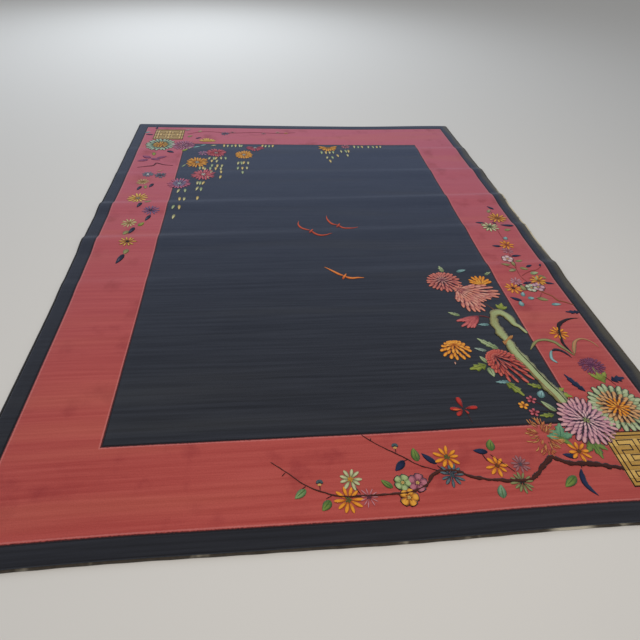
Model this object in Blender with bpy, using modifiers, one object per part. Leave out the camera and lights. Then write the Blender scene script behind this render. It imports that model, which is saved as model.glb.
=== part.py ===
"""Hand-knotted wool pile rug, lying on a floor, with overcast side cords and woven end webs.

Metres, +Z up. The rug lies on z = 0 with its length along Y, and its origin is on the floor
under the middle of its outline. A place on the rug is given twice: (u, v) is measured on the
flat, true rectangle, and lie() turns it into where that place really lies.
"""
import bmesh
import bpy
import numpy as np

NAME = "wool_pile_rug"

# ---- driving dimensions, in metres
WIDTH = 2.74                # over the two side cords
LENGTH = 3.66               # over the two end webs
THICKNESS = 0.013           # cotton foundation and sheared wool pile together
CORD_DIAMETER = 0.011       # warps bundled and overcast along each side
WEB_WIDTH = 0.009           # plain weave beyond the last row of knots
WEB_THICKNESS = 0.003
GAP = 0.0004                # left between neighbouring pieces

CORD_OFFSET = GAP + CORD_DIAMETER / 2
HALF_WIDTH = WIDTH / 2 - GAP - CORD_DIAMETER
HALF_LENGTH = LENGTH / 2 - GAP - WEB_WIDTH
COLUMNS = 10                # facets across the width

# ---- old fold lines across the rug: soft ridges, short on the far side, long on the near side
FOLD_COLUMNS = ("v_left", "v_right", "rise_left", "rise_middle", "rise_right")
FOLDS = (
    (1.28, 1.32, 0.003, 0.002, 0.007),
    (0.85, 0.93, 0.003, 0.002, 0.009),
    (0.41, 0.52, 0.012, 0.004, 0.012),
    (0.00, 0.12, 0.012, 0.004, 0.007),
    (-0.42, -0.31, 0.004, 0.003, 0.011),
)
FAR_SLOPE = 0.060
NEAR_SLOPE = 0.150
FOLD_STEPS = (-1.0, -0.67, -0.33, 0.0, 0.5, 1.0)    # facet lines, as shares of the two slopes
FLAT_LINES = (-1.45, -1.05, -0.70)                  # facet lines where the rug lies flat

# ---- how far each edge strays outwards from the true rectangle: waves that fade inwards
STRAY_COLUMNS = ("edge", "centre", "half_length", "outwards")
STRAYS = (
    ("far", 1.37, 0.95, 0.042),
    ("far", -0.10, 0.90, -0.006),
    ("near", -0.85, 0.60, -0.006),
    ("near", 0.15, 0.50, 0.005),
    ("near", 1.37, 0.60, 0.012),
    ("left", 0.05, 0.80, 0.008),
    ("right", 1.83, 1.50, -0.020),
    ("right", -1.83, 1.20, 0.008),
)
STRAY_FADE = 3              # power with which a wave fades towards the middle of the rug


def wave(offset, half_length):
    """A raised cosine: 1 in its middle, 0 at half_length away and beyond."""
    share = np.clip(np.abs(offset) / half_length, 0.0, 1.0)
    return 0.5 + 0.5 * np.cos(np.pi * share)


def stray(u, v):
    """How far (u, v) moves along x and along y because the edges aren't true."""
    edges = {
        "far": (u, v / HALF_LENGTH, 0.0, 1.0),
        "near": (u, -v / HALF_LENGTH, 0.0, -1.0),
        "right": (v, u / HALF_WIDTH, 1.0, 0.0),
        "left": (v, -u / HALF_WIDTH, -1.0, 0.0),
    }
    dx, dy = 0.0 * u, 0.0 * v
    for edge, centre, half_length, outwards in STRAYS:
        along, depth, to_x, to_y = edges[edge]
        reach = outwards * wave(along - centre, half_length) * np.clip(depth, 0.0, 1.0) ** STRAY_FADE
        dx = dx + to_x * reach
        dy = dy + to_y * reach
    return dx, dy


def rise(u, v):
    """Height of the underside: each fold is a ridge whose height grows towards the sides."""
    share = u / HALF_WIDTH
    height = 0.0 * u + 0.0 * v
    for v_left, v_right, rise_left, rise_middle, rise_right in FOLDS:
        crest = v_left + (v_right - v_left) * (share + 1) / 2
        side = np.where(share < 0, rise_left, rise_right)
        top = rise_middle + (side - rise_middle) * share ** 2
        slope = np.where(v > crest, FAR_SLOPE, NEAR_SLOPE)
        height = height + top * wave(v - crest, slope)
    return height


def lie(u, v):
    """Where the underside of the rug's place (u, v) lies, as rows of x, y, z."""
    u, v = np.broadcast_arrays(np.asarray(u, float), np.asarray(v, float))
    dx, dy = stray(u, v)
    return np.stack([u + dx, v + dy, rise(u, v)], -1)


def facet_lines():
    """The lines across the rug on which its facets meet, as (v at the left, v at the right)."""
    lines = [(-HALF_LENGTH, -HALF_LENGTH), (HALF_LENGTH, HALF_LENGTH)]
    lines += [(v, v) for v in FLAT_LINES]
    for v_left, v_right, *_ in FOLDS:
        for step in FOLD_STEPS:
            away = step * (FAR_SLOPE if step > 0 else NEAR_SLOPE)
            lines.append((v_left + away, v_right + away))
    return sorted(lines)


def facet_grid():
    """Flat places of every facet corner: u and v, one row for each facet line."""
    share = np.linspace(0.0, 1.0, COLUMNS + 1)
    lines = np.array(facet_lines())
    v = lines[:, :1] + (lines[:, 1:] - lines[:, :1]) * share
    u = np.broadcast_to(-HALF_WIDTH + 2 * HALF_WIDTH * share, v.shape)
    return u, v


def side_edge(side):
    """The edge of the pile along one side (-1 left, 1 right), from the near end to the far end."""
    places = np.array(facet_lines())[:, 0 if side < 0 else 1]
    return lie(side * HALF_WIDTH, places)


def end_edge(end):
    """The edge of the pile along one end (-1 near, 1 far), from left to right."""
    return lie(np.linspace(-HALF_WIDTH, HALF_WIDTH, COLUMNS + 1), end * HALF_LENGTH)


def middle_of_outline():
    """Middle of the box that the cords and webs reach, which becomes the origin."""
    reach_x = CORD_OFFSET + CORD_DIAMETER / 2
    reach_y = GAP + WEB_WIDTH
    left, right = side_edge(-1)[:, 0].min() - reach_x, side_edge(1)[:, 0].max() + reach_x
    near, far = end_edge(-1)[:, 1].min() - reach_y, end_edge(1)[:, 1].max() + reach_y
    return (left + right) / 2, (near + far) / 2


def clear_scene():
    for item in list(bpy.data.objects):
        bpy.data.objects.remove(item, do_unlink=True)


def wool(name, colour, roughness):
    """A dull fibre finish for one sub-part."""
    material = bpy.data.materials.new(name)
    material.use_nodes = True
    shader = material.node_tree.nodes["Principled BSDF"]
    shader.inputs["Base Color"].default_value = (*colour, 1.0)
    shader.inputs["Roughness"].default_value = roughness
    shader.inputs["Metallic"].default_value = 0.0
    return material


def place(item, collection, material, middle):
    """Put a finished object into the rug's collection, over the origin."""
    item.data.materials.append(material)
    item.location = (-middle[0], -middle[1], 0.0)
    collection.objects.link(item)
    return item


def cloth(name, corners, thickness):
    """A sheet whose underside runs through a grid of corners, thickened upwards."""
    rows, columns = corners.shape[:2]
    mesh = bpy.data.meshes.new(name)
    sheet = bmesh.new()
    bmesh.ops.create_grid(sheet, x_segments=columns - 1, y_segments=rows - 1, size=1.0)
    for vertex in sheet.verts:
        column = round((vertex.co.x + 1) / 2 * (columns - 1))
        row = round((vertex.co.y + 1) / 2 * (rows - 1))
        vertex.co = corners[row, column]
    sheet.to_mesh(mesh)
    sheet.free()
    item = bpy.data.objects.new(name, mesh)
    wall = item.modifiers.new("pile_height", "SOLIDIFY")
    wall.thickness = thickness
    wall.offset = 1.0
    return item


def make_rug_body():
    """Foundation and pile, knotted in one piece with all its bands."""
    u, v = facet_grid()
    return cloth("rug_body", lie(u, v), THICKNESS)


def make_side_cord(name, side):
    """Round cord that lies against one side, half the pile's height up."""
    route = side_edge(side) + (side * CORD_OFFSET, 0.0, THICKNESS / 2)
    curve = bpy.data.curves.new(name, "CURVE")
    curve.dimensions = "3D"
    curve.bevel_depth = CORD_DIAMETER / 2
    curve.bevel_resolution = 2
    curve.use_fill_caps = True
    spline = curve.splines.new("POLY")
    spline.points.add(len(route) - 1)
    for point, where in zip(spline.points, route):
        point.co = (*where, 1.0)
    return bpy.data.objects.new(name, curve)


def make_end_web(name, end):
    """Narrow strip of plain weave past the last knots of one end."""
    inner = end_edge(end) + (0.0, end * GAP, 0.0)
    outer = inner + (0.0, end * WEB_WIDTH, 0.0)
    rows = (inner, outer) if end > 0 else (outer, inner)
    return cloth(name, np.array(rows), WEB_THICKNESS)


def main():
    clear_scene()
    collection = bpy.data.collections.new(NAME)
    bpy.context.scene.collection.children.link(collection)
    middle = middle_of_outline()
    pile = wool("navy_wool_pile", (0.026, 0.032, 0.045), 0.95)
    overcast = wool("overcast_wool_yarn", (0.034, 0.036, 0.042), 0.90)
    weave = wool("cotton_plain_weave", (0.42, 0.37, 0.28), 0.95)
    place(make_rug_body(), collection, pile, middle)
    place(make_side_cord("side_cord_left", -1), collection, overcast, middle)
    place(make_side_cord("side_cord_right", 1), collection, overcast, middle)
    place(make_end_web("end_web_near", -1), collection, weave, middle)
    place(make_end_web("end_web_far", 1), collection, weave, middle)


main()
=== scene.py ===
"""Chinese art deco rug: hand-knotted wool pile with a navy guard band, a rose border, a navy field,
sprays of chrysanthemums, a twisted trunk, hanging blooms, birds and two key-fret corner blocks.

Every surface is a formula of two parameters, worked out on whole arrays. Places on the rug are flat
coordinates (u, v) in metres from its middle: u across the width, v along the length, and lie(u, v, lift)
says where that place of the rug really lies on the floor.
"""
import bpy
import numpy as np
from mathutils import Matrix, Vector


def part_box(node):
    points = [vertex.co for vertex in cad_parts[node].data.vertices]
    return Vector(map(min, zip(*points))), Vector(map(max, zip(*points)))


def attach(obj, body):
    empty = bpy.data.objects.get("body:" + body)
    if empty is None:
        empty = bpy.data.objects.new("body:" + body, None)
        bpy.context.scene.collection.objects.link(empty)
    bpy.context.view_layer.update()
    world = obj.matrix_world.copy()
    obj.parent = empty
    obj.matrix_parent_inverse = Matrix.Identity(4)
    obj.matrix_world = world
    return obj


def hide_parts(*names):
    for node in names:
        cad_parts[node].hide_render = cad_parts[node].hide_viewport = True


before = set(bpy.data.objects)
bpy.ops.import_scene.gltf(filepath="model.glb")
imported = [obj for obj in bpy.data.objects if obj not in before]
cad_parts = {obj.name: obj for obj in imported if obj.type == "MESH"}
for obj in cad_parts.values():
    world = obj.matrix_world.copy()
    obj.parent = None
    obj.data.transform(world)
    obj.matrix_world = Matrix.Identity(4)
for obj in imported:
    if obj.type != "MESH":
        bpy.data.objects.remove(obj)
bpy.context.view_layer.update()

# ---------------------------------------------------------------- sizes, in metres
WIDTH, LENGTH, THICKNESS = 2.74, 3.66, 0.013
CORD_DIAMETER, WEB_WIDTH, WEB_THICKNESS, GAP = 0.011, 0.009, 0.003, 0.0004
CORD_OFFSET = GAP + CORD_DIAMETER / 2
HALF_WIDTH = WIDTH / 2 - GAP - CORD_DIAMETER
HALF_LENGTH = LENGTH / 2 - GAP - WEB_WIDTH
GUARD_U, GUARD_V = 1.29, 1.75            # where the navy guard band meets the rose border
FIELD_U, FIELD_V = 0.945, 1.405          # where the rose border meets the navy field
# low folds across the rug: where each crosses the left and right side, and how high it is at the left,
# in the middle and at the right
FOLDS = ((1.28, 1.32, .003, .002, .007), (.85, .93, .003, .002, .009), (.41, .52, .012, .004, .012),
         (0., .12, .012, .004, .007), (-.42, -.31, .004, .003, .011))
FAR_SLOPE, NEAR_SLOPE = 0.060, 0.150
# how far each edge strays from straight: edge, middle of the bulge, half its length, how far outwards
STRAYS = (("far", 1.37, .95, .042), ("far", -.10, .90, -.006), ("near", -.85, .60, -.006),
          ("near", .15, .50, .005), ("near", 1.37, .60, .012), ("left", .05, .80, .008),
          ("right", 1.83, 1.50, -.020), ("right", -1.83, 1.20, .008))


# ---------------------------------------------------------------- how the rug lies
def wave(offset, half):
    """Half a cosine wave: 1 in the middle, 0 beyond half."""
    return 0.5 + 0.5 * np.cos(np.pi * np.clip(np.abs(offset / half), 0, 1))


def stray(u, v):
    """How far each place is pulled sideways: the bulges of the edges, fading inwards as depth cubed."""
    du, dv = np.zeros_like(u), np.zeros_like(u)
    for edge, centre, half, outwards in STRAYS:
        along, depth, way = {"far": (u, v / HALF_LENGTH, (0, 1)), "near": (u, -v / HALF_LENGTH, (0, -1)),
                             "right": (v, u / HALF_WIDTH, (1, 0)),
                             "left": (v, -u / HALF_WIDTH, (-1, 0))}[edge]
        reach = outwards * wave(along - centre, half) * np.clip(depth, 0, 1) ** 3
        du, dv = du + reach * way[0], dv + reach * way[1]
    return du, dv


def rise(u, v):
    """Height of the low folds: a cosine wave along v round a crest that slants a little across u."""
    share = u / HALF_WIDTH
    height = np.zeros_like(u)
    for v_left, v_right, left, middle, right in FOLDS:
        crest = v_left + (v_right - v_left) * (share + 1) / 2
        top = middle + (np.where(share < 0, left, right) - middle) * share ** 2
        height = height + top * wave(v - crest, np.where(v > crest, FAR_SLOPE, NEAR_SLOPE))
    return height


def lie(u, v, lift=0.0):
    """The real place of flat place (u, v), lifted above the rug's underside."""
    u, v = np.broadcast_arrays(np.asarray(u, float), np.asarray(v, float))
    du, dv = stray(u, v)
    return np.stack([u + du, v + dv, rise(u, v) + lift], -1)


def own_box():
    """Lowest and highest corner of the body's rim, before it is centred."""
    ends = np.linspace(-1, 1, 801)
    one = np.ones_like(ends)
    rim = np.concatenate([lie(ends * HALF_WIDTH, one * HALF_LENGTH),
                          lie(ends * HALF_WIDTH, -one * HALF_LENGTH),
                          lie(one * HALF_WIDTH, ends * HALF_LENGTH),
                          lie(-one * HALF_WIDTH, ends * HALF_LENGTH)])
    return rim.min(0), rim.max(0)


OWN = own_box()
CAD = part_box("rug_body")
# from the flat frame to the row frame, whose origin is under the middle of the whole rug
SHIFT = np.zeros(3)
for axis in (0, 1):
    SHIFT[axis] = (CAD[0][axis] + CAD[1][axis]) / 2 - (OWN[0][axis] + OWN[1][axis]) / 2


def nap(u, v):
    """The clipped pile's slight unevenness, in metres: three slow waves."""
    return 0.00022 * (np.sin(21 * u + 2 * np.sin(5 * v)) + np.sin(17 * v + 2.2 * np.sin(7 * u))
                      + 0.6 * np.sin(33 * u - 27 * v))


def on_pile(u, v, lift=0.0):
    """The real place of (u, v) on the pile's top, in the row frame."""
    return lie(u, v, THICKNESS + nap(u, v) + lift) + SHIFT


# ---------------------------------------------------------------- colours
def linear(colour):
    """An sRGB hex colour as linear RGBA."""
    c = np.array([int(colour[i:i + 2], 16) for i in (1, 3, 5)]) / 255
    c = np.where(c <= 0.04045, c / 12.92, ((c + 0.055) / 1.055) ** 2.4)
    return np.append(c, 1.0)


# ---------------------------------------------------------------- meshes
class Heap:
    """Closed shapes gathered for one mesh: points, faces, and for each point two dyes (side and core)
    and its place on its own shape (across -1 to 1, along 0 to 1, and a number of its own)."""

    def __init__(self):
        self.points, self.faces, self.side, self.core, self.grain = [], [], [], [], []
        self.count = 0

    def add(self, rings, ends, side, core, grain, grain_ends):
        """rings (n, stations, across, 3) and ends (n, 2, 3), a point at either end: n closed shapes."""
        n, s, r = rings.shape[:3]
        each = s * r + 2
        i, j = np.meshgrid(np.arange(s - 1), np.arange(r), indexing="ij")
        k = (j + 1) % r
        quads = np.stack([i * r + j, i * r + k, (i + 1) * r + k, (i + 1) * r + j], -1).reshape(-1, 4)
        a = np.arange(r)
        b = (a + 1) % r
        near = np.stack([np.full(r, s * r), b, a], -1)
        far = np.stack([np.full(r, s * r + 1), (s - 1) * r + a, (s - 1) * r + b], -1)
        start = self.count + np.arange(n)[:, None, None] * each
        self.faces += (quads + start).reshape(-1, 4).tolist()
        self.faces += (np.concatenate([near, far]) + start).reshape(-1, 3).tolist()
        whole = lambda x, y: np.concatenate([x.reshape(n, s * r, -1), y], 1).reshape(n * each, -1)
        self.points.append(whole(rings, ends))
        self.grain.append(whole(grain, grain_ends))
        for held, dye in ((self.side, side), (self.core, core)):
            dye = np.broadcast_to(np.asarray(dye, float), (n, 4))
            held.append(np.repeat(dye, each, 0))
        self.count += n * each

    def mesh(self, name, material):
        """The gathered shapes as one mesh object."""
        return solid(name, np.concatenate(self.points), self.faces, [material],
                     side=np.concatenate(self.side), core=np.concatenate(self.core),
                     grain=np.concatenate(self.grain))


def solid(name, points, faces, materials, smooth=True, uv=None, slots=None, **attributes):
    """A mesh object at the origin, with its own attributes, riding on the rug's one body."""
    mesh = bpy.data.meshes.new(name)
    mesh.from_pydata(np.asarray(points).tolist(), [], faces)
    mesh.polygons.foreach_set("use_smooth", np.full(len(mesh.polygons), smooth))
    for m in materials:
        mesh.materials.append(m)
    if slots is not None:
        mesh.polygons.foreach_set("material_index", np.asarray(slots, np.int32))
    for key, values in attributes.items():
        kind = "FLOAT_COLOR" if values.shape[1] == 4 else "FLOAT_VECTOR"
        made = mesh.attributes.new(key, kind, "POINT")
        made.data.foreach_set("color" if values.shape[1] == 4 else "vector",
                              values.astype(np.float32).ravel())
    if uv is not None:
        corner = np.empty(len(mesh.loops), np.int32)
        mesh.loops.foreach_get("vertex_index", corner)
        layer = mesh.uv_layers.new(name="flat")
        layer.data.foreach_set("uv", np.asarray(uv, np.float32)[corner].ravel())
    mesh.update()
    thing = bpy.data.objects.new(name, mesh)
    bpy.context.scene.collection.objects.link(thing)
    return thing


# ---------------------------------------------------------------- materials
def node(tree, kind, links=(), **settings):
    """Adds a node with its settings; links are (input name or number, value or socket)."""
    made = tree.nodes.new(kind)
    for key, value in settings.items():
        setattr(made, key, value)
    for key, value in links:
        if isinstance(value, bpy.types.NodeSocket):
            tree.links.new(value, made.inputs[key])
        else:
            made.inputs[key].default_value = value
    return made


def maths(tree, operation, *values):
    """One sum or other operation on numbers or sockets."""
    return node(tree, "ShaderNodeMath", list(enumerate(values)), operation=operation).outputs[0]


def blend(tree, share, a, b, how="MIX"):
    """Colours a and b mixed by share."""
    made = node(tree, "ShaderNodeMix", [(0, share)], data_type="RGBA", blend_type=how)
    for number, colour in ((6, a), (7, b)):
        if isinstance(colour, bpy.types.NodeSocket):
            tree.links.new(colour, made.inputs[number])
        else:
            made.inputs[number].default_value = colour
    return made.outputs[2]


def ramp(tree, value, low, high, start=0.0, end=1.0):
    """start to end, smoothly, as value goes from low to high."""
    made = node(tree, "ShaderNodeMapRange", [(0, value), (1, low), (2, high), (3, start), (4, end)],
                interpolation_type="SMOOTHSTEP")
    return made.outputs[0]


def noise(tree, places, scale, detail=3.0, stretch=(1, 1, 1), roughness=0.55):
    """Soft random values, 0 to 1, at places stretched by the three factors."""
    held = node(tree, "ShaderNodeVectorMath", [(0, places), (1, stretch)], operation="MULTIPLY").outputs[0]
    made = node(tree, "ShaderNodeTexNoise", [("Vector", held), ("Scale", scale), ("Detail", detail),
                                             ("Roughness", roughness)])
    return made.outputs[0]


def wool(name, sheen=0.25, rough=0.88):
    """A matt, slightly lustrous wool surface; returns the material, its tree and its main shader."""
    made = bpy.data.materials.new(name)
    made.use_nodes = True
    tree = made.node_tree
    main = tree.nodes["Principled BSDF"]
    main.inputs["Roughness"].default_value = rough
    main.inputs["Specular IOR Level"].default_value = 0.18
    main.inputs["Sheen Weight"].default_value = sheen
    main.inputs["Sheen Roughness"].default_value = 0.45
    main.inputs["Sheen Tint"].default_value = (0.72, 0.80, 1.0, 1.0)
    return made, tree, main


def tufted(tree, main, places, strength, extra=None):
    """Bump of the cut pile: tuft ends about 3 mm apart and finer fibres between them."""
    tufts = node(tree, "ShaderNodeTexVoronoi", [("Vector", places), ("Scale", 330.0)]).outputs[0]
    fibres = noise(tree, places, 900.0, 2.0)
    height = maths(tree, "ADD", maths(tree, "MULTIPLY", tufts, -0.6), fibres)
    if extra is not None:
        height = maths(tree, "ADD", height, extra)
    bump = node(tree, "ShaderNodeBump", [("Height", height), ("Strength", strength), ("Distance", 0.0015)])
    tree.links.new(bump.outputs[0], main.inputs["Normal"])


def ground_wool(name, back=False):
    """The pile's ground: navy guard band, rose border and navy field, with the streaks of hand-dyed
    batches across the width, painted shade along the groove carved beside each border and a painted
    highlight on its rose side, darker blotches of painted shade in the rose where the pile lies another way,
    wool lighter and bluer towards the far end, painted sheen of the pile seen at a grazing angle with a
    little real fading, and worn, yellowed wool along the right edge."""
    made, tree, main = wool(name, 0.10 if back else 0.32)
    flat = node(tree, "ShaderNodeUVMap", uv_map="flat").outputs[0]
    places = node(tree, "ShaderNodeTexCoord").outputs["Object"]
    axes = node(tree, "ShaderNodeSeparateXYZ", [(0, flat)])
    u, v = axes.outputs[0], axes.outputs[1]
    au, av = maths(tree, "ABSOLUTE", u), maths(tree, "ABSOLUTE", v)
    ragged = maths(tree, "MULTIPLY", maths(tree, "SUBTRACT", noise(tree, flat, 160.0, 2.0), 0.5), 0.006)

    def inside(half_u, half_v):
        """Distance beyond the rectangle, ragged by a knot or so."""
        d = maths(tree, "MAXIMUM", maths(tree, "SUBTRACT", au, half_u), maths(tree, "SUBTRACT", av, half_v))
        return maths(tree, "ADD", d, ragged)

    guard, field = inside(GUARD_U, GUARD_V), inside(FIELD_U, FIELD_V)
    streak = noise(tree, flat, 1.0, 4.0, (1.6, 62.0, 1.0), 0.6)
    batch = noise(tree, flat, 1.0, 2.0, (0.5, 5.0, 1.0))
    patch = noise(tree, flat, 5.5, 4.0)
    speck = noise(tree, flat, 210.0, 3.0)
    # far: share of the way to the far end, for the painted sheen (with a little real fading) that makes the
    # wool lighter and bluer there
    far = ramp(tree, v, -1.6, 1.7)

    navy = blend(tree, ramp(tree, streak, 0.20, 0.80), linear("#17181d"), linear("#2d2f36"))
    # painted sheen with a little real fading: the navy lighter and bluer towards the far end
    navy = blend(tree, maths(tree, "MULTIPLY", far, 0.62), navy, linear("#26334f"))
    navy = blend(tree, ramp(tree, batch, 0.5, 0.75, 0.0, 0.35), navy, linear("#363637"))
    rose = blend(tree, ramp(tree, streak, 0.15, 0.85), linear("#9c3a34"), linear("#b4524a"))
    # painted sheen with a little real fading: the rose paler and pinker towards the far end
    rose = blend(tree, maths(tree, "MULTIPLY", far, 0.75), rose, linear("#b3566a"))
    # darker blotches in the rose: painted shade of the pile lying different ways
    rose = blend(tree, ramp(tree, patch, 0.52, 0.74, 0.0, 0.55), rose, linear("#86292b"))
    rose = blend(tree, ramp(tree, batch, 0.48, 0.70, 0.0, 0.30), rose, linear("#b9624f"))
    edge = ramp(tree, maths(tree, "ADD", u, maths(tree, "MULTIPLY", maths(tree, "SUBTRACT", patch, 0.5),
                                                  0.05)),
                1.315, 1.345)
    guard_wool = blend(tree, 0.35, navy, linear("#1c1a1d"))
    guard_wool = blend(tree, maths(tree, "MULTIPLY", edge, 0.8), guard_wool, linear("#4c4636"))
    colour = blend(tree, maths(tree, "GREATER_THAN", field, 0.0), navy, rose)
    # painted highlight: a pale pink band 4 to 12 mm into the rose beside each carved groove
    for d, way in ((field, 1), (guard, -1)):
        painted_highlight = maths(tree, "MULTIPLY", ramp(tree, maths(tree, "MULTIPLY", d, way), 0.004, 0.007),
                     ramp(tree, maths(tree, "MULTIPLY", d, way), 0.012, 0.008))
        colour = blend(tree, maths(tree, "MULTIPLY", painted_highlight, 0.45), colour, linear("#c87d78"))
    colour = blend(tree, maths(tree, "GREATER_THAN", guard, 0.0), colour, guard_wool)
    # painted shade in the carved grooves: a near-black line along each border
    for d in (field, guard):
        line = ramp(tree, maths(tree, "ABSOLUTE", maths(tree, "ADD", d, 0.0 if d is field else -0.001)),
                    0.0055, 0.0035)
        colour = blend(tree, maths(tree, "MULTIPLY", line, 0.85), colour, linear("#0d0a0e"))
    light = maths(tree, "ADD", 0.80, maths(tree, "MULTIPLY", speck, 0.40))
    colour = blend(tree, 1.0, colour, node(tree, "ShaderNodeCombineColor",
                                           [(0, light), (1, light), (2, light)]).outputs[0], "MULTIPLY")
    if back:
        rows = maths(tree, "SINE", maths(tree, "MULTIPLY", v, 1500.0))
        columns = maths(tree, "SINE", maths(tree, "MULTIPLY", u, 1500.0))
        knots = maths(tree, "MULTIPLY", rows, columns)
        colour = blend(tree, ramp(tree, rows, 0.3, 1.0, 0.0, 0.35), colour, linear("#8d8069"))
        bump = node(tree, "ShaderNodeBump", [("Height", knots), ("Strength", 0.5), ("Distance", 0.001)])
        tree.links.new(bump.outputs[0], main.inputs["Normal"])
    else:
        rows = maths(tree, "MULTIPLY", streak, 0.3)
        tufted(tree, main, places, 0.35, rows)
    tree.links.new(colour, main.inputs["Base Color"])
    return made


def motif_wool(name):
    """The motifs' wool: each tuft colour shades from a dark side to a paler core, as the weaver does
    with two or three dyes a petal, with the mottling of hand-dyed yarn."""
    made, tree, main = wool(name, 0.15)
    side = node(tree, "ShaderNodeAttribute", attribute_name="side").outputs["Color"]
    core = node(tree, "ShaderNodeAttribute", attribute_name="core").outputs["Color"]
    grain = node(tree, "ShaderNodeAttribute", attribute_name="grain").outputs["Vector"]
    places = node(tree, "ShaderNodeTexCoord").outputs["Object"]
    axes = node(tree, "ShaderNodeSeparateXYZ", [(0, grain)])
    across = maths(tree, "ABSOLUTE", axes.outputs[0])
    along = axes.outputs[1]
    tone = noise(tree, places, 190.0, 3.0)
    wobble = maths(tree, "MULTIPLY", maths(tree, "SUBTRACT", tone, 0.5), 0.55)
    pale = maths(tree, "MULTIPLY", ramp(tree, maths(tree, "ADD", across, wobble), 0.95, 0.30),
                 ramp(tree, maths(tree, "ADD", along, wobble), 0.08, 0.62))
    colour = blend(tree, pale, side, core)
    light = maths(tree, "ADD", 0.58, maths(tree, "MULTIPLY", tone, 0.56))
    colour = blend(tree, 1.0, colour, node(tree, "ShaderNodeCombineColor",
                                           [(0, light), (1, light), (2, light)]).outputs[0], "MULTIPLY")
    tree.links.new(colour, main.inputs["Base Color"])
    tufted(tree, main, places, 0.35)
    return made


# ---------------------------------------------------------------- petals, leaves, branches
INK = "#120b10"                          # the dark outline knotted round the motifs
FORMS = {  # a and b of the width along the shape, w = t^a (1-t)^b over its peak; teeth; how deep they cut
    "petal": (0.75, 0.42, 0, 0), "spoon": (0.95, 0.40, 0, 0), "ray": (1.1, 0.62, 0, 0),
    "drop": (0.50, 0.85, 0, 0), "leaf": (0.62, 0.90, 0, 0), "toothed": (0.55, 0.75, 4, 0.42),
    "cut": (0.45, 0.60, 3, 0.55), "thread": (0.5, 0.5, 0, 0)}


def width_of(form, t):
    """Share of the full width at t: t^a (1-t)^b over its peak, cut back by teeth that point to the tip."""
    a, b, teeth, cut = FORMS[form]
    m = a / (a + b)
    w = (t / m) ** a * ((1 - t) / (1 - m)) ** b
    return w * (1 - cut * (1 - (teeth * t * 0.999) % 1.0)) if teeth else w


def shapes(heap, u, v, heading, length, width, bend=0.0, form="petal", side="#000000", core=None,
           low=0.0004, high=0.0014, dome=0.0008, plain=False):
    """Petals or leaves: n closed shapes whose spines start at (u, v) and run along heading (radians),
    bowed by bend; the upper face domes by dome and climbs from low at the base to high near the tip."""
    n = np.broadcast(u, v, heading, length, width, bend).size
    u, v, heading, length, width, bend = (np.broadcast_to(np.asarray(x, float), n).astype(float)
                                          for x in (u, v, heading, length, width, bend))
    teeth = FORMS[form][2]
    if teeth:
        marks = np.arange(1, teeth) / teeth
        t = np.sort(np.concatenate([[0.04, 0.97], marks - 0.006, marks + 0.02, marks - 0.12]))
    else:
        t = np.array([0.03, 0.22, 0.62, 0.93]) if plain else np.array([0.025, 0.13, 0.33, 0.55, 0.76, 0.92,
                                                                       0.985])
    w = width_of(form, t)
    way = np.stack([np.cos(heading), np.sin(heading)], -1)[:, None]
    out = np.stack([-way[..., 1], way[..., 0]], -1)
    bow = bend[:, None, None]

    def spine(t):
        """The middle line at shares t: straight ahead, bowed sideways by bend t (1 - t)."""
        return (np.stack([u, v], -1)[:, None] + length[:, None, None]
                * (t[None, :, None] * way + bow * (t * (1 - t))[None, :, None] * out))

    turn = way + bow * (1 - 2 * t)[None, :, None] * out
    turn = turn / np.linalg.norm(turn, axis=-1, keepdims=True)
    left = np.stack([-turn[..., 1], turn[..., 0]], -1)
    across = np.array([1.0, 0.0, -1.0, 0.0]) if plain else np.array([1.0, 0.55, 0.0, -0.55, -1.0, 0.0])
    r = len(across)
    flat = spine(t)[:, :, None] + (left * (w[None, :, None] * width[:, None,
                                                                    None] / 2))[:, :, None] * across[:, None]
    height = (low + (high - low) * np.minimum(t / 0.8, 1.0))[None, :, None] + np.zeros((n, 1, r))
    height = height + dome * (1 - across ** 2) * np.sin(np.pi * t ** 0.8)[None, :, None]
    height[..., -1] = -0.0020
    ends = spine(np.array([0.0, 1.0]))
    heap.add(on_pile(flat[..., 0], flat[..., 1], height)[:, :, ::-1],
             on_pile(ends[..., 0], ends[..., 1], np.array([low * 0.3, high * 0.6])),
             linear(side) if isinstance(side, str) else side,
             linear(core or side) if isinstance(core or side, str) else core,
             np.stack(np.broadcast_arrays(across[None, None, ::-1], t[None, :, None],
                                          (np.arange(n) % 7 / 7.0)[:, None, None]), -1),
             np.stack(np.broadcast_arrays(np.zeros((1, 2)), np.array([[0., 1.]]), np.zeros((n, 1))), -1))


def outlined(heap, u, v, heading, length, width, margin=0.003, ink=INK, **looks):
    """Shapes with the dark outline that the weaver knots round them: a bigger dark shape beneath."""
    u, v, heading = np.asarray(u, float), np.asarray(v, float), np.asarray(heading, float)
    bend = looks.get("bend", 0.0)
    low, high = looks.get("low", 0.0004), looks.get("high", 0.0014)
    shapes(heap, u - margin * np.cos(heading), v - margin * np.sin(heading), heading,
           np.asarray(length) + 2.2 * margin,
           np.asarray(width) + 2 * margin, bend, looks.get("form", "petal"), ink, ink, low - 0.0002,
           high - 0.0004,
           0.0, plain=True)
    shapes(heap, u, v, heading, length, width, **looks)


def oval(centre, half_long, half_wide, turned, origin):
    """How far the rim of an oval lies from origin in each direction, as a function of the angle."""
    turned = np.radians(turned)
    c, s = np.cos(turned), np.sin(turned)
    dx, dy = origin[0] - centre[0], origin[1] - centre[1]
    px, py = (dx * c + dy * s) / half_long, (-dx * s + dy * c) / half_wide

    def reach(angle):
        """The positive root of the oval's equation along that direction."""
        x, y = np.cos(angle), np.sin(angle)
        qx, qy = (x * c + y * s) / half_long, (-x * s + y * c) / half_wide
        a, b, k = qx ** 2 + qy ** 2, px * qx + py * qy, px ** 2 + py ** 2 - 1
        return (-b + np.sqrt(b ** 2 - a * k)) / a
    return reach


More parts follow.
